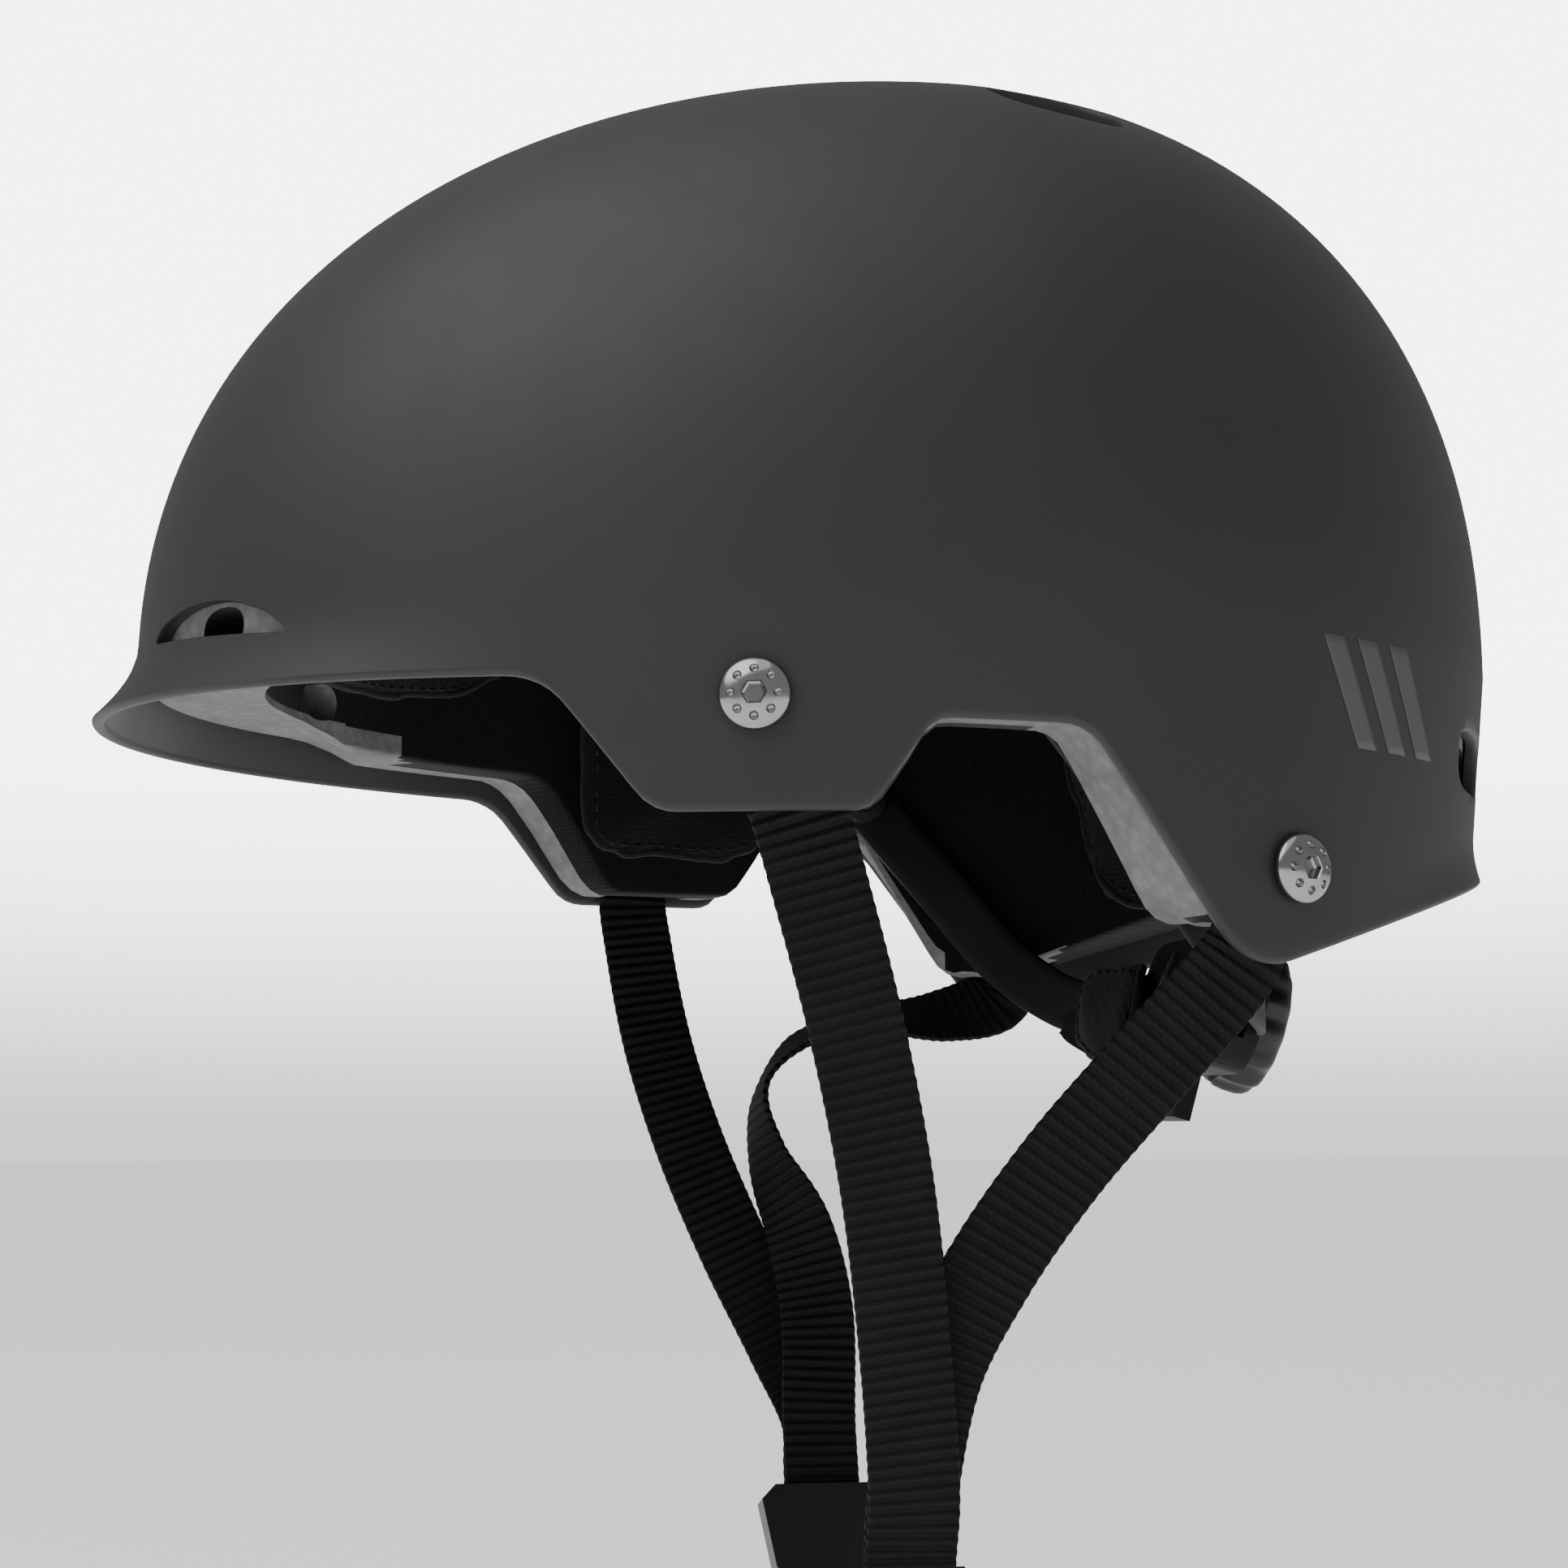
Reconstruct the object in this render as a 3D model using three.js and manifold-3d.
// Water-sports helmet: a brimmed hard shell over a foam liner, with comfort pads, a dial-adjusted
// nape cradle and a webbing harness that closes under the chin with a side-release buckle.
// Millimetres. +Z is up, the face looks along -Y and the wearer's left side is +X.
// The origin is the middle of the head opening, level with the lower edge of the temple flaps.
import * as THREE from "three";
import { mergeVertices } from "three/addons/utils/BufferGeometryUtils.js";
import Module from "manifold-3d";

const wasm = await Module();
wasm.setup();

// ---- Driving dimensions ----------------------------------------------------------------------

// The dome is an oval in plan whose widest section is the equator; its outlines are superellipses.
const HALF_WIDTH = 106;
const FRONT_REACH = 149;
const REAR_REACH = 115;
const DOME_HEIGHT = 118.5;
const EQUATOR_Z = 35;
const FRONT_ROUNDNESS = 2.165;
const REAR_ROUNDNESS = 2.3;
const SIDE_ROUNDNESS = 2.28;

// Layers are insets of the dome's half width, reach and height.
const SHELL_WALL = 2.6;
const LAYER_GAP = 0.5;
const SHELL_OUT = inset(0, 0, 0);
const SHELL_IN = inset(SHELL_WALL, SHELL_WALL, SHELL_WALL);
const LINER_OUT = grown(SHELL_IN, LAYER_GAP);
const LINER_IN = inset(17, 24, 23);
const PATCH_GAP = 1.1;
const PATCH_THICK = 0.9;
const PAD_BACK = grown(LINER_IN, PATCH_THICK + 2 * PATCH_GAP);
const PAD_THICK = 7.5;
const PAD_FACE = grown(PAD_BACK, PAD_THICK);

// The lower edge in side view: [y, z, fillet radius] from the brim's tip to the middle of the back.
const RIM = roundedOutline([
  [-170, 25, 0],
  [-78, 22.8, 12],
  [-60.5, 0, 8],
  [-25.7, 0, 6],
  [-15.2, 15.2, 5],
  [10.8, 14.6, 9],
  [40.2, -25.7, 13],
  [130, 2.2, 0],
]);
// How far the liner's lower edge stays above the shell's.
const LINER_LIFT = roundedOutline([
  [-170, 4, 0],
  [-70, 4, 6],
  [-58, 1.6, 4],
  [-24, 1.6, 2],
  [-20, 0.6, 2],
  [32, 0.6, 3],
  [41, 7, 5],
  [130, 5, 0],
]);

const BRIM = { out: 9.5, height: 15, spreadDeg: 62, curl: 1.8 };
const TAIL_LIP = { out: 2.2, height: 9, fromDeg: 122, fullDeg: 160, curl: 1.7 };

// Webbing
const WEB_WIDTH = 16;
const WEB_THICK = 1.3;
const WEB_PITCH = WEB_THICK + 0.4;

// Screws that clamp the webbing to the shell: [y, z] on the side, and which way the webbing leaves.
const FRONT_SCREW = { y: -43.9, z: 18.7 };
const REAR_SCREW = { y: 49.8, z: -7.5 };
const SCREW = { headR: 6, headH: 3.2, shankR: 2.5, seat: 0.5, length: 9.8, socketR: 2.1 };

// Chin loop: straight legs that lean inwards, a bend each side and a level buckle. The loop hangs
// askew, so the left leg sits further forward than the buckle and the right leg further back.
const CHIN_Y = -8.5;
const CHIN_SWAY = 2.2;
const CHIN_TOP = { x: 63, z: -112 };
const CHIN_LEAN = THREE.MathUtils.degToRad(18);
const CHIN_Z = -176;
const CHIN_BEND_R = 13;

// Nape dial: the middle of the knob's outer face, and how far the dial leans back.
const DIAL = { y: 75.5, z: -30.5, leanDeg: 15.7, knobR: 15, knobH: 9 };

// ---- Materials -------------------------------------------------------------------------------

const material = (color, roughness, metalness = 0) =>
  new THREE.MeshStandardMaterial({ color, roughness, metalness });
const SHELL_BLACK = material(0x2b2b2c, 0.55);
const FOAM_GREY = material(0x8c8c8a, 0.9);
const PAD_BLACK = material(0x111112, 0.95);
const HOOK_BLACK = material(0x0c0c0c, 1);
const WEB_BLACK = material(0x0d0d0e, 0.85);
const PLASTIC_BLACK = material(0x141415, 0.45);
const DIAL_GREY = material(0x3a3a3b, 0.5);
const RUBBER_BLACK = material(0x101010, 0.8);
const CHROME = material(0xd4d4d6, 0.18, 1);
const STEEL = material(0xa8a8aa, 0.35, 1);

// ---- Geometry helpers ------------------------------------------------------------------------

function inset(width, reach, height) {
  return { width, reach, height };
}

function grown(layer, by) {
  return inset(layer.width + by, layer.reach + by, layer.height + by);
}

// A polyline with filleted corners, as a function from y to z.
function roundedOutline(corners) {
  const arcs = corners.slice(1, -1).map(([y, z, r], i) => {
    const before = new THREE.Vector2(y - corners[i][0], z - corners[i][1]).normalize();
    const after = new THREE.Vector2(corners[i + 2][0] - y, corners[i + 2][1] - z).normalize();
    const turn = before.cross(after);
    const side = Math.sign(turn) || 1;
    const t = r * Math.tan(Math.acos(Math.min(1, before.dot(after))) / 2);
    const centre = new THREE.Vector2(y, z).addScaledVector(before, -t);
    centre.addScaledVector(new THREE.Vector2(-before.y, before.x), r * side);
    return { from: y - t * before.x, to: y + t * after.x, centre, r, side };
  });
  return (y) => {
    const arc = arcs.find((a) => y > a.from && y < a.to);
    if (arc) {
      return arc.centre.y - arc.side * Math.sqrt(arc.r ** 2 - (y - arc.centre.x) ** 2);
    }
    const i = Math.max(1, corners.findIndex((c) => y <= c[0]));
    const [y0, z0] = corners[i - 1];
    const [y1, z1] = corners[i];
    return z0 + ((z1 - z0) * (y - y0)) / (y1 - y0);
  };
}

// How far the brim and the tail lip stand out from the dome.
function lipFlare(theta, z) {
  const deg = THREE.MathUtils.radToDeg(Math.abs(Math.atan2(Math.sin(theta), Math.cos(theta))));
  const rimZ = RIM(-reachAt(theta) * Math.cos(theta));
  const depth = (lip) => THREE.MathUtils.clamp((rimZ + lip.height - z) / lip.height, 0, 1);
  if (deg < BRIM.spreadDeg) {
    const fade = Math.cos((deg / BRIM.spreadDeg) * (Math.PI / 2)) ** 1.2;
    return BRIM.out * fade * depth(BRIM) ** BRIM.curl;
  }
  const fade = THREE.MathUtils.smoothstep(deg, TAIL_LIP.fromDeg, TAIL_LIP.fullDeg);
  return TAIL_LIP.out * fade * depth(TAIL_LIP) ** TAIL_LIP.curl;
}

function reachAt(theta) {
  return Math.cos(theta) > 0 ? FRONT_REACH : REAR_REACH;
}

// A point on a layer. theta runs from the face round by the left side; v is degrees up the dome
// from the equator, or millimetres below it where it is negative.
function wallPoint(theta, v, layer, flared = false) {
  const [s, c] = [Math.sin(theta), Math.cos(theta)];
  let width = HALF_WIDTH - layer.width;
  let reach = reachAt(theta) - layer.reach;
  let radius = 1;
  let z = EQUATOR_Z + v;
  if (v >= 0) {
    const n = SIDE_ROUNDNESS * s * s + (c > 0 ? FRONT_ROUNDNESS : REAR_ROUNDNESS) * c * c;
    const a = THREE.MathUtils.degToRad(v);
    radius = Math.max(0, Math.cos(a)) ** (2 / n);
    z = EQUATOR_Z + (DOME_HEIGHT - layer.height) * Math.sin(a) ** (2 / n);
  } else {
    const shrink = -v * (0.02 + 0.08 * Math.max(0, -c) ** 2);
    width -= shrink;
    reach -= shrink;
  }
  if (flared) {
    const flare = lipFlare(theta, z);
    width += flare;
    reach += flare;
  }
  return new THREE.Vector3(width * s * radius, -reach * c * radius, z);
}

// theta of a place on the left side, given its y on the outer shell's equator.
function thetaOf(y) {
  return Math.acos(-y / (y < 0 ? FRONT_REACH : REAR_REACH));
}

// A point at a depth inside the shell's side wall, and the wall's outward normal there.
function sideWall(y, z, depth, side = 1) {
  const p = wallPoint(thetaOf(y), z - EQUATOR_Z, grown(SHELL_OUT, depth));
  p.x *= side;
  return p;
}

function sideNormal(y, z, side = 1) {
  const p = sideWall(y, z, 0);
  const reach = y < 0 ? FRONT_REACH : REAR_REACH;
  return new THREE.Vector3((side * p.x) / HALF_WIDTH ** 2, p.y / reach ** 2, 0).normalize();
}

// A closed solid through rings of points, with a fan to a point at each end.
function loft(rings, startPoint = middle(rings[0]), endPoint = middle(rings.at(-1))) {
  const count = rings[0].length;
  const points = [...rings.flat(), startPoint, endPoint];
  const start = points.length - 2;
  const end = points.length - 1;
  const last = (rings.length - 1) * count;
  const faces = [];
  for (let j = 0; j < count; j++) {
    const k = (j + 1) % count;
    for (let row = 0; row < last; row += count) {
      faces.push([row + j, row + k, row + count + k], [row + j, row + count + k, row + count + j]);
    }
    faces.push([start, k, j], [end, last + j, last + k]);
  }
  const volume = faces.reduce((sum, [a, b, c]) => {
    return sum + points[a].dot(new THREE.Vector3().crossVectors(points[b], points[c]));
  }, 0);
  if (volume < 0) faces.forEach((f) => f.reverse());
  const geometry = new THREE.BufferGeometry().setFromPoints(points);
  geometry.setIndex(faces.flat());
  return geometry;
}

function middle(points) {
  return points.reduce((sum, p) => sum.add(p), new THREE.Vector3()).divideScalar(points.length);
}

// A turned solid about +Z from [radius, z] pairs that start and end on the axis or close on themselves.
function lathe(profile, segments = 16) {
  const points = profile.map(([r, z]) => new THREE.Vector2(r, z));
  return new THREE.LatheGeometry(points, segments).rotateX(Math.PI / 2);
}

// A tube with square ends about +Z.
function bush(innerR, outerR, from, to, segments = 16) {
  const ring = [
    [innerR, from],
    [outerR, from],
    [outerR, to],
    [innerR, to],
    [innerR, from],
  ];
  return lathe(ring, segments);
}

function box(x0, x1, y0, y1, z0, z1) {
  const g = new THREE.BoxGeometry(x1 - x0, y1 - y0, z1 - z0);
  return g.translate((x0 + x1) / 2, (y0 + y1) / 2, (z0 + z1) / 2);
}

function rod(r, from, to, segments = 16) {
  const g = new THREE.CylinderGeometry(r, r, to - from, segments).rotateX(Math.PI / 2);
  return g.translate(0, 0, (from + to) / 2);
}

// A prism of an outline in the XY plane, from one z to another.
function prism(outline, from, to, curveSegments = 8) {
  const shape = outline instanceof THREE.Shape ? outline : new THREE.Shape(outline);
  const options = { depth: to - from, bevelEnabled: false, curveSegments };
  return new THREE.ExtrudeGeometry(shape, options).translate(0, 0, from);
}

function roundedRect(x0, x1, y0, y1, r) {
  const s = new THREE.Shape();
  s.moveTo(x0 + r, y0);
  s.lineTo(x1 - r, y0);
  s.absarc(x1 - r, y0 + r, r, -Math.PI / 2, 0);
  s.lineTo(x1, y1 - r);
  s.absarc(x1 - r, y1 - r, r, 0, Math.PI / 2);
  s.lineTo(x0 + r, y1);
  s.absarc(x0 + r, y1 - r, r, Math.PI / 2, Math.PI);
  s.lineTo(x0, y0 + r);
  s.absarc(x0 + r, y0 + r, r, Math.PI, 1.5 * Math.PI);
  return s;
}

function solid(geometry) {
  const bare = geometry.clone();
  bare.deleteAttribute("normal");
  bare.deleteAttribute("uv");
  const merged = mergeVertices(bare, 1e-4);
  const mesh = new wasm.Mesh({
    numProp: 3,
    vertProperties: Float32Array.from(merged.attributes.position.array),
    triVerts: Uint32Array.from(merged.index.array),
  });
  return new wasm.Manifold(mesh);
}

function geometryOf(manifold) {
  const mesh = manifold.getMesh();
  const geometry = new THREE.BufferGeometry();
  geometry.setAttribute("position", new THREE.BufferAttribute(mesh.vertProperties, 3));
  geometry.setIndex(new THREE.BufferAttribute(mesh.triVerts, 1));
  return geometry;
}

function cut(geometry, ...tools) {
  return geometryOf(tools.reduce((made, tool) => made.subtract(solid(tool)), solid(geometry)));
}

function join(geometry, ...others) {
  return geometryOf(others.reduce((made, other) => made.add(solid(other)), solid(geometry)));
}

// A placement whose +Z is the given normal and whose +Y is as near to up as it can be.
function facing(origin, normal, up = new THREE.Vector3(0, 0, 1)) {
  const z = normal.clone().normalize();
  const x = new THREE.Vector3().crossVectors(up, z).normalize();
  const y = new THREE.Vector3().crossVectors(z, x);
  return new THREE.Matrix4().makeBasis(x, y, z).setPosition(origin);
}

// A flat band along a smooth path: each station is [x, y, z, nx, ny, nz] with the face's normal.
function ribbon(stations, steps, width = WEB_WIDTH, thick = WEB_THICK) {
  const path = new THREE.CatmullRomCurve3(stations.map(([x, y, z]) => new THREE.Vector3(x, y, z)));
  const faces = new THREE.CatmullRomCurve3(stations.map((s) => new THREE.Vector3(...s.slice(3))));
  const rings = [];
  for (let i = 0; i <= steps; i++) {
    const p = path.getPoint(i / steps);
    const along = path.getTangent(i / steps);
    const across = new THREE.Vector3().crossVectors(along, faces.getPoint(i / steps)).normalize();
    const face = new THREE.Vector3().crossVectors(across, along).normalize();
    const corner = (a, b) =>
      p.clone().addScaledVector(across, (a * width) / 2).addScaledVector(face, (b * thick) / 2);
    rings.push([corner(-1, -1), corner(1, -1), corner(1, 1), corner(-1, 1)]);
  }
  return loft(rings);
}

// ---- The assembly ----------------------------------------------------------------------------

const helmet = new THREE.Group();

function add(name, geometry, look, place = new THREE.Matrix4()) {
  const mesh = new THREE.Mesh(geometry.applyMatrix4(place), look);
  mesh.name = name;
  helmet.add(mesh);
}

const SIDES = { left: 1, right: -1 };

// ---- Shell and liner -------------------------------------------------------------------------

// Columns of the shell, by y on the left side, closer together where the rim turns.
const STATIONS = [
  -149, -144.5, -132, -115, -97, -83, -75, -68, -62, -56, -45, -31, -26, -20, -13, -3, 7, 14, 22,
  30, 36, 42, 50, 62, 76, 90, 101.5, 109, 115,
];
const LEFT_THETAS = STATIONS.map(thetaOf);
const RIGHT_THETAS = LEFT_THETAS.slice(1, -1).map((a) => 2 * Math.PI - a);
const THETAS = [...LEFT_THETAS, ...RIGHT_THETAS.reverse()];
// Rows of each face: degrees up the dome, then shares of the way from the equator to the rim.
const OUTER_ROWS = { dome: [81, 68, 55, 42, 30, 19, 9, 0], skirt: [0.35, 0.65, 0.85, 1] };
const MIDDLE_ROWS = { dome: [79, 64, 49, 35, 21, 9, 0], skirt: [0.45, 0.75, 1] };
const INNER_ROWS = { dome: [84, 72, 60, 48, 36, 24, 11, 0], skirt: [0.5, 1] };

function domeRings(layer, rows, rimOf, flared) {
  const ring = (v) => THETAS.map((a) => wallPoint(a, v(a), layer, flared));
  const dome = rows.dome.map((deg) => ring(() => deg));
  const skirt = rows.skirt.map((share) => ring((a) => share * (rimOf(a) - EQUATOR_Z)));
  return [...dome, ...skirt];
}

function bowl([outer, outerRows], [inner, innerRows], rimOf, flared) {
  const outside = domeRings(outer, outerRows, rimOf, flared);
  const inside = domeRings(inner, innerRows, rimOf, flared).reverse();
  return loft([...outside, ...inside], wallPoint(0, 90, outer), wallPoint(0, 90, inner));
}

const rimAt = (theta) => RIM(-reachAt(theta) * Math.cos(theta));
const linerRimAt = (theta) => {
  const y = -reachAt(theta) * Math.cos(theta);
  return RIM(y) + LINER_LIFT(y);
};

const mirrored = (x, side) => new THREE.Vector3(x.x * side, x.y, x.z);

// The slit above each side of the brim, in a plane square to the wall: x runs to the wearer's right.
const BROW_VENT = new THREE.Shape();
BROW_VENT.moveTo(-21, -3.1);
BROW_VENT.lineTo(21.5, 0.2);
BROW_VENT.splineThru([
  new THREE.Vector2(16.5, 3.2),
  new THREE.Vector2(7, 4.6),
  new THREE.Vector2(-4, 4.4),
  new THREE.Vector2(-14, 1.6),
  new THREE.Vector2(-21, -3.1),
]);
const BROW_VENT_AT = { x: 46.5, y: -132.5, z: 36.8 };
const CROWN_VENT_AT = { x: 52.5, y: 20 };
const CROWN_VENT_HALF = { x: 12, y: 12.5 };
const NAPE_VENT_AT = { theta: THREE.MathUtils.degToRad(152.5), z: 17 };
const NAPE_VENT_HALF = { x: 15, z: 5.5 };

function browPlace(side) {
  const at = new THREE.Vector3(BROW_VENT_AT.x * side, BROW_VENT_AT.y, BROW_VENT_AT.z);
  const normal = new THREE.Vector3(at.x / HALF_WIDTH ** 2, at.y / FRONT_REACH ** 2, 0);
  return facing(at, normal);
}

function crownPlace(side) {
  const [x, y] = [CROWN_VENT_AT.x, CROWN_VENT_AT.y];
  const flat = (x / HALF_WIDTH) ** 2 + (y / REAR_REACH) ** 2;
  const z = EQUATOR_Z + DOME_HEIGHT * (1 - flat ** 1.14) ** 0.44;
  const normal = new THREE.Vector3(x / HALF_WIDTH ** 2, y / REAR_REACH ** 2, 1 / DOME_HEIGHT);
  normal.x *= side;
  return facing(new THREE.Vector3(x * side, y, z), normal, new THREE.Vector3(0, 1, 0));
}

function napePlace(side) {
  const at = wallPoint(NAPE_VENT_AT.theta, NAPE_VENT_AT.z - EQUATOR_Z, SHELL_OUT);
  const normal = new THREE.Vector3(at.x / HALF_WIDTH ** 2, at.y / REAR_REACH ** 2, 0);
  return facing(mirrored(at, side), mirrored(normal, side));
}

function screwPlace(screw, side) {
  return facing(sideWall(screw.y, screw.z, 0, side), sideNormal(screw.y, screw.z, side));
}

const shellTools = [];
const linerTools = [];
for (const side of Object.values(SIDES)) {
  const brow = prism(BROW_VENT, -12, 12, 3);
  if (side > 0) brow.rotateY(Math.PI);
  shellTools.push(brow.applyMatrix4(browPlace(side)));
  const [h, v] = [CROWN_VENT_HALF, NAPE_VENT_HALF];
  const crown = new THREE.Shape().absellipse(0, 0, h.x, h.y, 0, 2 * Math.PI);
  shellTools.push(prism(crown, -10, 10, 8).applyMatrix4(crownPlace(side)));
  const nape = roundedRect(-v.x, v.x, -v.z, v.z, 5);
  shellTools.push(prism(nape, -14, 14, 3).applyMatrix4(napePlace(side)));
  for (const screw of [FRONT_SCREW, REAR_SCREW]) {
    shellTools.push(rod(3.2, -8, 8, 12).applyMatrix4(screwPlace(screw, side)));
  }
  linerTools.push(box(-6.5, 6.5, -4, 4, -60, 20).applyMatrix4(browPlace(side)));
  linerTools.push(box(-8, 8, -10, 10, -50, 20).applyMatrix4(crownPlace(side)));
  linerTools.push(box(-10, 10, -3.5, 3.5, -50, 20).applyMatrix4(napePlace(side)));
}

// The liner is stepped up behind the brim.
linerTools.push(box(-62, 62, -160, -119, 0, 32));

// Pockets in the liner for the webbing ends and their nuts, open at the liner's lower edge.
const POCKET = { half: 10, above: 13, depth: 11.5 };
const FRONT_POCKET_LEAN = { left: 18, right: 2 };
const REAR_POCKET_LEAN = -28;
for (const [name, side] of Object.entries(SIDES)) {
  const leans = [FRONT_POCKET_LEAN[name] * side, REAR_POCKET_LEAN * side];
  [FRONT_SCREW, REAR_SCREW].forEach((screw, i) => {
    const pocket = box(-POCKET.half, POCKET.half, -60, POCKET.above, -POCKET.depth, 8);
    pocket.rotateZ(THREE.MathUtils.degToRad(leans[i]));
    linerTools.push(pocket.applyMatrix4(screwPlace(screw, side)));
  });
}

// Sockets in the liner's inner face for the studs that hold the cradle's arms.
const ANCHOR = { y: 9, z: 24, shankR: 2.4 };
function anchorPlace(side) {
  const theta = Math.acos(-ANCHOR.y / (REAR_REACH - LINER_IN.reach));
  const at = wallPoint(theta, ANCHOR.z - EQUATOR_Z, LINER_IN);
  const normal = new THREE.Vector3(-at.x / HALF_WIDTH ** 2, -at.y / REAR_REACH ** 2, 0);
  return facing(mirrored(at, side), mirrored(normal, side));
}
for (const side of Object.values(SIDES)) {
  linerTools.push(rod(ANCHOR.shankR + 0.4, -8, 8, 12).applyMatrix4(anchorPlace(side)));
}

const shell = bowl([SHELL_OUT, OUTER_ROWS], [SHELL_IN, MIDDLE_ROWS], rimAt, true);
const liner = bowl([LINER_OUT, MIDDLE_ROWS], [LINER_IN, INNER_ROWS], linerRimAt, false);
add("outer_shell", cut(shell, ...shellTools), SHELL_BLACK);
add("foam_liner", cut(liner, ...linerTools), FOAM_GREY);

// ---- Comfort pads and their hook patches -----------------------------------------------------

// A pad on a surface between two thetas (degrees) and between lower and upper v, with rounded
// corners. The surface gives a point from theta, v and a layer.
function pad(surface, [from, to, low, high], [back, face], columns, rows, squareness = 6) {
  const rings = [];
  for (let i = 0; i <= columns; i++) {
    const u = (2 * i) / columns - 1;
    const round = Math.sqrt(1 - Math.min(0.98, Math.abs(u)) ** squareness);
    const theta = THREE.MathUtils.degToRad(from + ((to - from) * i) / columns);
    const mid = (low(u) + high(u)) / 2;
    const half = ((high(u) - low(u)) / 2) * round;
    const edge = [...Array(rows + 1).keys()].map((k) => mid - half + (2 * half * k) / rows);
    rings.push([
      ...edge.map((v) => surface(theta, v, back)),
      ...edge.reverse().map((v) => surface(theta, v, face)),
    ]);
  }
  return loft(rings);
}

const PATCH_BACK = grown(LINER_IN, PATCH_GAP);
const PATCH_FACE = grown(PATCH_BACK, PATCH_THICK);
const PATCH = [PATCH_BACK, PATCH_FACE];
const COMFORT = [PAD_BACK, PAD_FACE];

function hookPatch(name, thetaDeg, v, halfDeg, halfV) {
  const area = [thetaDeg - halfDeg, thetaDeg + halfDeg, () => v - halfV, () => v + halfV];
  add(name, pad(wallPoint, area, PATCH, 4, 2), HOOK_BLACK);
}

add("brow_pad", pad(wallPoint, [-52, 52, () => 1, () => 17], COMFORT, 18, 3), PAD_BLACK);
for (const [name, side] of Object.entries(SIDES)) {
  const span = side > 0 ? [60, 84] : [276, 300];
  const temple = pad(wallPoint, [...span, () => -28, () => 14], COMFORT, 8, 5);
  add(`temple_pad_${name}`, temple, PAD_BLACK);
  hookPatch(`temple_patch_${name}`, side > 0 ? 72 : 288, -12, 3.5, 7);
  hookPatch(`brow_patch_${name}`, side > 0 ? 27.6 : 332.4, 11, 4, 3);
  hookPatch(`rear_patch_${name}`, side > 0 ? 138 : 222, 2.5, 5, 2.3);
}
// The rear pad wraps the back of the head. Its upper edge dips and its lower edge arches in the
// middle, and its ends slant forward as they rise.
const rearTop = (u) => 20 - 5 * Math.cos(Math.PI * u);
const rearLow = (u) => -36 - 6 * Math.sin(Math.PI * Math.abs(u)) + 213 * Math.max(0, Math.abs(u) - 0.81);
add("rear_pad", pad(wallPoint, [122, 238, rearLow, rearTop], COMFORT, 24, 5, 14), PAD_BLACK);

// The crown pad is a four-lobed cap.
function crownCap(back, face, edgeDeg, lobeDeg, count) {
  const thetas = [...Array(count).keys()].map((i) => (2 * Math.PI * i) / count);
  const ring = (share, layer) =>
    thetas.map((a) => {
      const low = edgeDeg + lobeDeg * Math.cos(4 * a);
      return wallPoint(a, 90 - share * (90 - low), layer);
    });
  const shares = [0.2, 0.5, 0.8, 1];
  const outer = shares.map((s) => ring(s, back));
  const inner = shares.map((s) => ring(s, face)).reverse();
  return loft([...outer, ...inner], wallPoint(0, 90, back), wallPoint(0, 90, face));
}
add("crown_pad", crownCap(PAD_BACK, PAD_FACE, 62, -7, 24), PAD_BLACK);
add("crown_patch", crownCap(PATCH_BACK, PATCH_FACE, 79, 0, 16), HOOK_BLACK);

// ---- Screws, washers and nuts ----------------------------------------------------------------

function screwGeometry() {
  const dome = [];
  for (let i = 0; i <= 4; i++) {
    const a = (i / 4) * (Math.PI / 2);
    dome.push([SCREW.headR * Math.cos(a), SCREW.seat + SCREW.headH * (0.25 + 0.75 * Math.sin(a))]);
  }
  const turned = lathe([
    [0, -SCREW.length],
    [SCREW.shankR, -SCREW.length],
    [SCREW.shankR, SCREW.seat],
    [SCREW.headR, SCREW.seat],
    ...dome.slice(0, -1),
    [0, dome.at(-1)[1]],
  ]);
  const top = SCREW.seat + SCREW.headH;
  return cut(turned, rod(SCREW.socketR, top - 1.8, top + 1, 6));
}

function nutGeometry() {
  const blank = join(rod(5, -7.6, -6.8, 16), rod(4.3, -9.4, -7.4, 6));
  return cut(blank, rod(2.9, -12, 0, 16));
}

for (const [where, screw] of [["front", FRONT_SCREW], ["rear", REAR_SCREW]]) {
  for (const [name, side] of Object.entries(SIDES)) {
    const place = screwPlace(screw, side);
    add(`${where}_screw_${name}`, screwGeometry(), CHROME, place);
    add(`${where}_washer_${name}`, bush(2.9, 6, -6.5, -5.6), STEEL, place);
    add(`${where}_nut_${name}`, nutGeometry(), STEEL, place);
  }
}

// ---- Harness ---------------------------------------------------------------------------------

const WEB_DEPTH = 4.5;

// The webbing's top end at a screw, lying on the inside of the shell.
function webEnd(screw, side, lean, above) {
  const n = sideNormal(screw.y, screw.z, side);
  const tilt = Math.tan(THREE.MathUtils.degToRad(lean));
  return [above, above / 2, 0, -8].map((dz) => {
    const p = sideWall(screw.y - dz * tilt, screw.z + dz, WEB_DEPTH, side);
    return [p.x, p.y, p.z, n.x, n.y, n.z];
  });
}

// A point on a leg of the chin loop: s millimetres down from its top, moved out by an offset.
const LEG = { x: -Math.sin(CHIN_LEAN), z: -Math.cos(CHIN_LEAN) };
const BEND_START = (CHIN_TOP.z - CHIN_Z - CHIN_BEND_R * (1 - Math.sin(CHIN_LEAN))) / -LEG.z;
const BEND_CENTRE = {
  x: CHIN_TOP.x + LEG.x * BEND_START + LEG.z * CHIN_BEND_R,
  z: CHIN_Z + CHIN_BEND_R,
};
const BEND_LENGTH = CHIN_BEND_R * (Math.PI / 2 - CHIN_LEAN);

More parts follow.
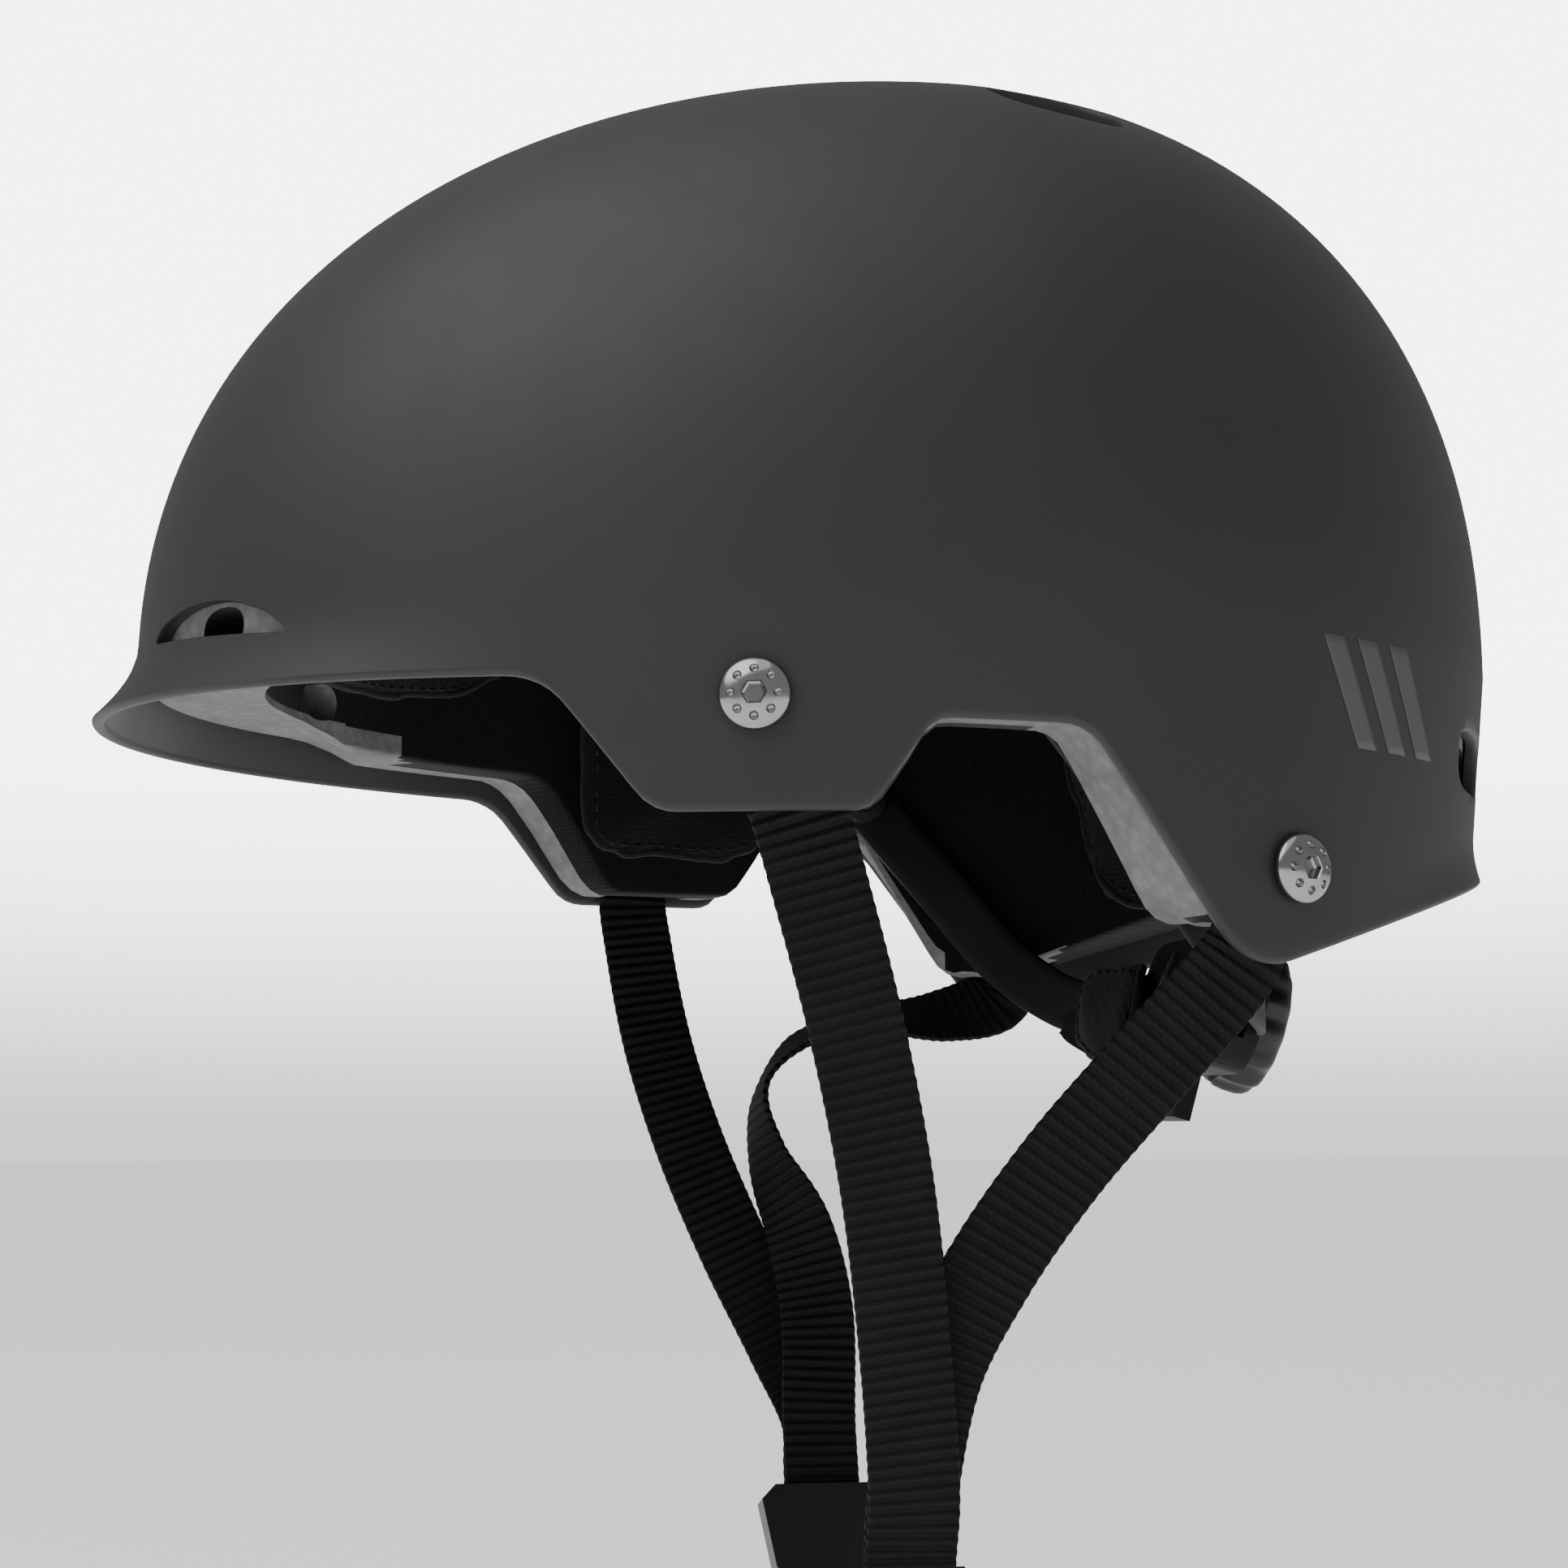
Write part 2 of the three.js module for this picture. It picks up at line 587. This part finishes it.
function chinPoint(s, offset, side) {
  let [x, z, nx, nz] = [CHIN_TOP.x + LEG.x * s, CHIN_TOP.z + LEG.z * s, -LEG.z, LEG.x];
  const straightened = THREE.MathUtils.smoothstep(s, BEND_START, BEND_START + BEND_LENGTH);
  const y = CHIN_Y - side * CHIN_SWAY * (1 - straightened);
  if (s > BEND_START) {
    const a = -CHIN_LEAN - Math.min((s - BEND_START) / CHIN_BEND_R, Math.PI / 2 - CHIN_LEAN);
    [nx, nz] = [Math.cos(a), Math.sin(a)];
    x = BEND_CENTRE.x + CHIN_BEND_R * nx;
    z = BEND_CENTRE.z + CHIN_BEND_R * nz;
  }
  return [side * (x + nx * offset), y, z + nz * offset, side * nx, 0, nz];
}

const LEG_STEPS = [2, 12, 22, 32, 42, 52];
const BEND_STEPS = [0, 0.25, 0.5, 0.75, 1].map((share) => BEND_START + share * BEND_LENGTH);

// Half a turn round a buckle bar at barX, from below to above, on the side towards the middle.
function barWrap(barX, radius, side) {
  return [-90, -135, 180, 135, 90].map((deg) => {
    const a = THREE.MathUtils.degToRad(deg);
    const [c, s] = [Math.cos(a), Math.sin(a)];
    return [side * (barX + radius * c), CHIN_Y, CHIN_Z + radius * s, side * c, 0, s];
  });
}

const BAR_X = 26;
const BAR_R = 1.6;
const WRAP_R = BAR_R + 0.4 + WEB_THICK / 2;

// Upper runs, from the screws to the top of the chin legs.
const FRONT_RUN_LEFT = [
  [96.6, -36.5, 2, 1, -0.18, 0],
  [93, -31.5, -13, 1, -0.15, 0],
  [87.5, -25, -34, 1, -0.1, 0],
  [80, -18.5, -60, 1, -0.05, 0],
  [71.5, -13.8, -88, 1, 0, 0],
];
const FRONT_RUN_RIGHT = [
  [-95.9, -43.8, 2, -1, -0.18, 0],
  [-93.3, -42.5, -10, -1, -0.16, 0],
  [-88.5, -38.5, -32, -1, -0.12, 0],
  [-82.5, -32, -54, -1, -0.1, 0],
  [-78, -22.5, -77, -1, -0.05, 0],
  [-71, -12.5, -98, -1, 0, 0],
];
const REAR_RUN_LEFT = [
  [90.6, 39.5, -23, 0.98, 0.25, 0],
  [85.5, 26, -39.5, 1, 0.12, 0],
  [78.5, 12, -57, 1, 0.05, 0],
  [72.5, 1, -74, 1, 0, 0],
  [67, -7, -91, 1, 0, 0],
];
// The right rear run is slack: it lies almost flat, folds over and turns down to the chin leg.
const REAR_RUN_RIGHT = [
  [-90.8, 41, -21, -0.94, 0.2, -0.25],
  [-88, 27, -25.5, -0.72, 0, -0.7],
  [-84, 9, -27, -0.35, 0, -0.94],
  [-80, -7, -31.5, -0.15, 0.45, -0.88],
  [-77.5, -16.5, -43, 0, 0.98, -0.2],
  [-74.5, -15.5, -57, -0.35, 0.94, 0],
  [-70.5, -9, -73, -0.85, 0.5, 0],
  [-66.5, -5.6, -91, -1, 0.15, 0],
];

const flipped = (stations) => stations.map(([x, y, z, ...n]) => [x, y, z, ...n.map((c) => -c)]);
const chinRun = (steps, offset, side) => steps.map((s) => chinPoint(s, offset, side));

function addWeb(name, stations, screws, side) {
  const holes = screws.map((screw) => rod(2.9, -8, 0, 12).applyMatrix4(screwPlace(screw, side)));
  add(name, cut(ribbon(stations, Math.round(stations.length * 2)), ...holes), WEB_BLACK);
}

// Left side: one length from the front screw, round the buckle's bar and back to the rear screw.
const LEG_DOWN = [...LEG_STEPS, ...BEND_STEPS];
const HALF_PITCH = WEB_PITCH / 2;
const leftReturn = [
  ...webEnd(REAR_SCREW, 1, REAR_POCKET_LEAN, 8),
  ...REAR_RUN_LEFT,
  ...chinRun(LEG_DOWN, -HALF_PITCH, 1),
];
const leftWeb = [
  ...webEnd(FRONT_SCREW, 1, FRONT_POCKET_LEAN.left, 8),
  ...FRONT_RUN_LEFT,
  ...chinRun(LEG_DOWN, HALF_PITCH, 1),
  ...barWrap(BAR_X, WRAP_R, 1),
  ...flipped(leftReturn).reverse(),
];
addWeb("side_strap_left", leftWeb, [FRONT_SCREW, REAR_SCREW], 1);

// Right side: two lengths, one over the other, that turn round the plug's bar and end in free tails.
const TAIL_UP = [...BEND_STEPS].reverse().concat([54, 48, 42]);
const FRONT_LAYER = { offset: HALF_PITCH, radius: WRAP_R };
const REAR_LAYER = { offset: 3 * HALF_PITCH + 0.15, radius: WRAP_R + WEB_PITCH + 0.15 };

function rightWeb(top, layer) {
  return [
    ...top,
    ...chinRun(LEG_DOWN, -layer.offset, -1),
    ...flipped(barWrap(BAR_X, layer.radius, -1).reverse()),
    ...flipped(chinRun(TAIL_UP, layer.offset, -1)),
  ];
}

const rightFrontTop = [
  ...webEnd(FRONT_SCREW, -1, FRONT_POCKET_LEAN.right, 8),
  ...FRONT_RUN_RIGHT,
];
const rightRearTop = [...webEnd(REAR_SCREW, -1, REAR_POCKET_LEAN, 8), ...REAR_RUN_RIGHT];
addWeb("front_strap_right", rightWeb(rightFrontTop, FRONT_LAYER), [FRONT_SCREW], -1);
addWeb("rear_strap_right", rightWeb(rightRearTop, REAR_LAYER), [REAR_SCREW], -1);

// A placement on a chin leg, with +Z out of the webbing's face and +Y up the leg.
function legPlace(s, offset, side) {
  const [x, y, z, nx, , nz] = chinPoint(s, offset, side);
  const up = new THREE.Vector3(-side * LEG.x, 0, -LEG.z);
  return facing(new THREE.Vector3(x, y, z), new THREE.Vector3(nx, 0, nz), up);
}

// Dividers gather the two lengths on each side; windows in the outer face show the webbing.
const DIVIDER = { s: 26, top: 13.5, foot: 11, half: 10, chamfer: 3, thick: 3.6 };

function dividerGeometry() {
  const { top, foot, half, chamfer, thick } = DIVIDER;
  const right = [
    [foot - chamfer, -half],
    [foot, chamfer - half],
    [top, half - chamfer],
    [top - chamfer, half],
  ];
  const left = right.map(([x, y]) => [-x, y]).reverse();
  const outline = [...right, ...left].map(([x, y]) => new THREE.Vector2(x, y));
  const slot = box(-8.4, 8.4, -20, 20, -1.9, 1.9);
  const windows = [-4.6, 4.6].map((y) => box(-7, 7, y - 2.2, y + 2.2, 0, 9));
  return cut(prism(outline, -thick, thick), slot, ...windows);
}

add("strap_divider_left", dividerGeometry(), PLASTIC_BLACK, legPlace(DIVIDER.s, 0, 1));
add("strap_divider_right", dividerGeometry(), PLASTIC_BLACK, legPlace(DIVIDER.s, -WEB_PITCH, -1));

// A rubber keeper holds the free tails against the right leg.
const keeper = cut(
  prism(roundedRect(-10, 10, -5.4, 5.4, 2.5), -3, 3, 3),
  prism(roundedRect(-8.5, 8.5, -3.9, 3.9, 1), -9, 9, 2),
);
add("strap_keeper", keeper.rotateX(Math.PI / 2), RUBBER_BLACK, legPlace(50.2, 0, -1));

// ---- Chin buckle -----------------------------------------------------------------------------

const BUCKLE = { half: 12.5, thick: 4.5, mouth: -1.5, wall: 20.5, end: 29 };
const PRONG = { pivotX: -6, pivotY: 7.5, rootR: 2.2, thick: 2.3 };
const bucklePlace = new THREE.Matrix4().makeTranslation(0, CHIN_Y, CHIN_Z);

// A bar for the webbing, along Y, with its ends in the buckle's cheeks.
function buckleBar(x) {
  return rod(BAR_R, -9.5, 9.5, 12).rotateX(Math.PI / 2).translate(x, 0, 0);
}

function socketGeometry() {
  const { half, thick, mouth, wall, end } = BUCKLE;
  const body = prism(roundedRect(mouth, end, -half, half, 4), -thick, thick, 3);
  const open = cut(
    body,
    box(-9, 18, -10, 10, -2.8, 2.8),
    box(5, 16, -20, 20, -2.8, 2.8),
    box(wall, 40, -8.7, 8.7, -9, 9),
  );
  return join(open, buckleBar(BAR_X));
}

function plugGeometry() {
  const { half, thick, wall, end } = BUCKLE;
  const body = prism(roundedRect(-end, -2.1, -half, half, 4), -thick, thick, 3);
  const open = cut(body, box(-40, 1 - wall, -8.7, 8.7, -9, 9));
  const tongue = box(-4, 4, -3, 3, -2.2, 2.2);
  const pockets = [-1, 1].flatMap((side) => [
    rod(PRONG.rootR + 0.35, -9, 9).translate(PRONG.pivotX, side * PRONG.pivotY, 0),
    box(PRONG.pivotX, 4, side * 7.2 - 2.9, side * 7.2 + 2.9, -9, 9),
  ]);
  return join(cut(open, ...pockets), buckleBar(-BAR_X), tongue);
}

// A springy arm whose shoulder catches behind the socket's side window.
function prongGeometry(side) {
  const y = side * PRONG.pivotY;
  const outline = [
    [PRONG.pivotX, -1.2],
    [16.5, -1.2],
    [17, 0.4],
    [14, 4],
    [8, 4.6],
    [5.6, 4.2],
    [5.6, 1.6],
    [PRONG.pivotX, 1.2],
  ];
  const arm = outline.map(([x, out]) => new THREE.Vector2(x, y + side * out));
  const root = rod(PRONG.rootR, -PRONG.thick, PRONG.thick);
  return join(prism(arm, -PRONG.thick, PRONG.thick), root.translate(PRONG.pivotX, y, 0));
}

add("buckle_socket", socketGeometry(), PLASTIC_BLACK, bucklePlace);
add("buckle_plug", plugGeometry(), PLASTIC_BLACK, bucklePlace);
add("buckle_prong_front", prongGeometry(-1), PLASTIC_BLACK, bucklePlace);
add("buckle_prong_rear", prongGeometry(1), PLASTIC_BLACK, bucklePlace);

// ---- Nape cradle and its dial ----------------------------------------------------------------

const CRADLE = { halfWidth: 70, reach: 54.7, wall: 2.2, padGap: 0.4, padThick: 5 };
const DIAL_LEAN = THREE.MathUtils.degToRad(DIAL.leanDeg);
const dialPlace = facing(
  new THREE.Vector3(0, DIAL.y, DIAL.z),
  new THREE.Vector3(0, Math.cos(DIAL_LEAN), -Math.sin(DIAL_LEAN)),
);

// The cradle's wall curves round the nape and leans with the dial; the layer is an inset.
function cradlePoint(theta, z, layer) {
  const lean = Math.tan(DIAL_LEAN) * (z - DIAL.z);
  const c = Math.cos(theta);
  const x = (CRADLE.halfWidth - layer) * Math.sin(theta);
  return new THREE.Vector3(x, (CRADLE.reach - layer + lean) * c, z);
}

const cradleLow = (u) => -39 - 4.5 * Math.cos(Math.PI * u);
const cradleHigh = (u) => -20.5 + 3 * Math.cos(Math.PI * u);
const yoke = pad(cradlePoint, [-36, 36, cradleLow, cradleHigh], [0, CRADLE.wall], 14, 2);
add("cradle_yoke", yoke, PLASTIC_BLACK);

const NAPE_LAYERS = [CRADLE.wall + CRADLE.padGap, CRADLE.wall + CRADLE.padGap + CRADLE.padThick];
for (const [name, side] of Object.entries(SIDES)) {
  const span = side > 0 ? [6, 30] : [-30, -6];
  const napeLow = (u) => -38.5 + 4 * side * u;
  const nape = pad(cradlePoint, [...span, napeLow, () => -16], NAPE_LAYERS, 8, 3);
  add(`nape_pad_${name}`, nape, PAD_BLACK);
}

// The housing carries two racks, one above the pinion and one below it.
const RACK = { near: 3.5, far: 6.3, from: -16.5, to: -13, reach: 34, overlap: 8, pitch: 2.356 };
const HOUSING = { halfX: 27, halfY: 13, from: -19.6, to: -9.6 };

function housingGeometry() {
  const { halfX, halfY, from, to } = HOUSING;
  const block = prism(roundedRect(-halfX, halfX, -halfY, halfY, 9), from, to, 4);
  const tab = box(-9, 9, -23.5, -12, -17, -13.5);
  const channels = [-1, 1].map((side) => {
    const middleY = (side * (RACK.near + RACK.far)) / 2;
    return box(-60, 60, middleY - 1.9, middleY + 1.9, RACK.from - 0.4, RACK.to + 0.4);
  });
  return cut(join(block, tab), rod(3.7, -17.3, 0, 20), ...channels);
}

// A toothed bar whose teeth face the pinion.
function rackGeometry(side) {
  const points = [new THREE.Vector2(-RACK.overlap, RACK.far)];
  for (let x = -RACK.overlap; x < RACK.reach - RACK.pitch; x += RACK.pitch) {
    points.push(new THREE.Vector2(x, RACK.near + 0.9));
    points.push(new THREE.Vector2(x + RACK.pitch / 2, RACK.near));
  }
  points.push(new THREE.Vector2(RACK.reach, RACK.near));
  points.push(new THREE.Vector2(RACK.reach, RACK.far));
  const bar = prism(points, RACK.from, RACK.to);
  return bar.rotateZ(side > 0 ? 0 : Math.PI);
}

function pinionGeometry() {
  const teeth = 8;
  const points = [];
  for (let i = 0; i < teeth * 2; i++) {
    const a = (i * Math.PI) / teeth;
    const r = i % 2 ? 2.3 : 3.15;
    points.push(new THREE.Vector2(r * Math.cos(a), r * Math.sin(a)));
  }
  return join(prism(points, -16.9, -12.3), rod(2, -12.4, -3.9));
}

function knobGeometry() {
  const { knobR, knobH } = DIAL;
  const count = 48;
  const ring = ([shrink, z, wave]) =>
    [...Array(count).keys()].map((i) => {
      const a = (i / count) * 2 * Math.PI;
      const r = knobR - shrink - wave * (0.5 + 0.5 * Math.cos(12 * a));
      return new THREE.Vector3(r * Math.cos(a), r * Math.sin(a), z);
    });
  const rows = [
    [2.2, -knobH, 0],
    [0.6, 0.8 - knobH, 0.8],
    [0.2, -2.2, 1.1],
    [1.6, -0.4, 0.6],
    [3.2, 0, 0],
    [5, -1, 0],
  ];
  return cut(loft(rows.map(ring)), rod(2.35, -12, -3.5));
}

add("cradle_housing", housingGeometry(), PLASTIC_BLACK, dialPlace);
add("dial_knob", knobGeometry(), DIAL_GREY, dialPlace);
add("dial_pinion", pinionGeometry(), STEEL, dialPlace);
// In the dial's frame the wearer's left is -X, so the upper rack, mirrored, is the left one.
add("rack_left", rackGeometry(1).rotateY(Math.PI).translate(0, 0, RACK.from + RACK.to),
  PLASTIC_BLACK, dialPlace);
add("rack_right", rackGeometry(-1).rotateY(Math.PI).translate(0, 0, RACK.from + RACK.to),
  PLASTIC_BLACK, dialPlace);

// Flexible arms run from studs in the liner down and back to the racks.
const ARM_RUN = [
  [85.7, 3.5, 31, 1, 0, 0],
  [85.3, 9, 24, 1, 0, 0],
  [84.2, 16, 15.5, 1, 0.1, 0],
  [80.5, 27, 2, 1, 0.3, 0],
  [74.5, 38, -12.5, 0.87, 0.5, 0],
  [63, 48.8, -22.5, 0.7, 0.7, 0],
  [50, 56, -26, 0.5, 0.87, 0],
  [38, 60.8, -27, 0.4, 0.92, 0],
];
for (const [name, side] of Object.entries(SIDES)) {
  const place = anchorPlace(side);
  const run = ARM_RUN.map(([x, y, z, nx, ny, nz]) => [side * x, y, z, side * nx, ny, nz]);
  const hole = rod(ANCHOR.shankR + 0.4, 0, 8, 16).applyMatrix4(place);
  add(`cradle_arm_${name}`, cut(ribbon(run, 20, 12, 1.8), hole), PLASTIC_BLACK);
  const stud = lathe([
    [0, -7],
    [ANCHOR.shankR, -7],
    [ANCHOR.shankR, 4.8],
    [5.5, 4.8],
    [5, 6],
    [3, 6.7],
    [0, 6.9],
  ]);
  add(`arm_anchor_${name}`, stud, PLASTIC_BLACK, place);
}

export default helmet;
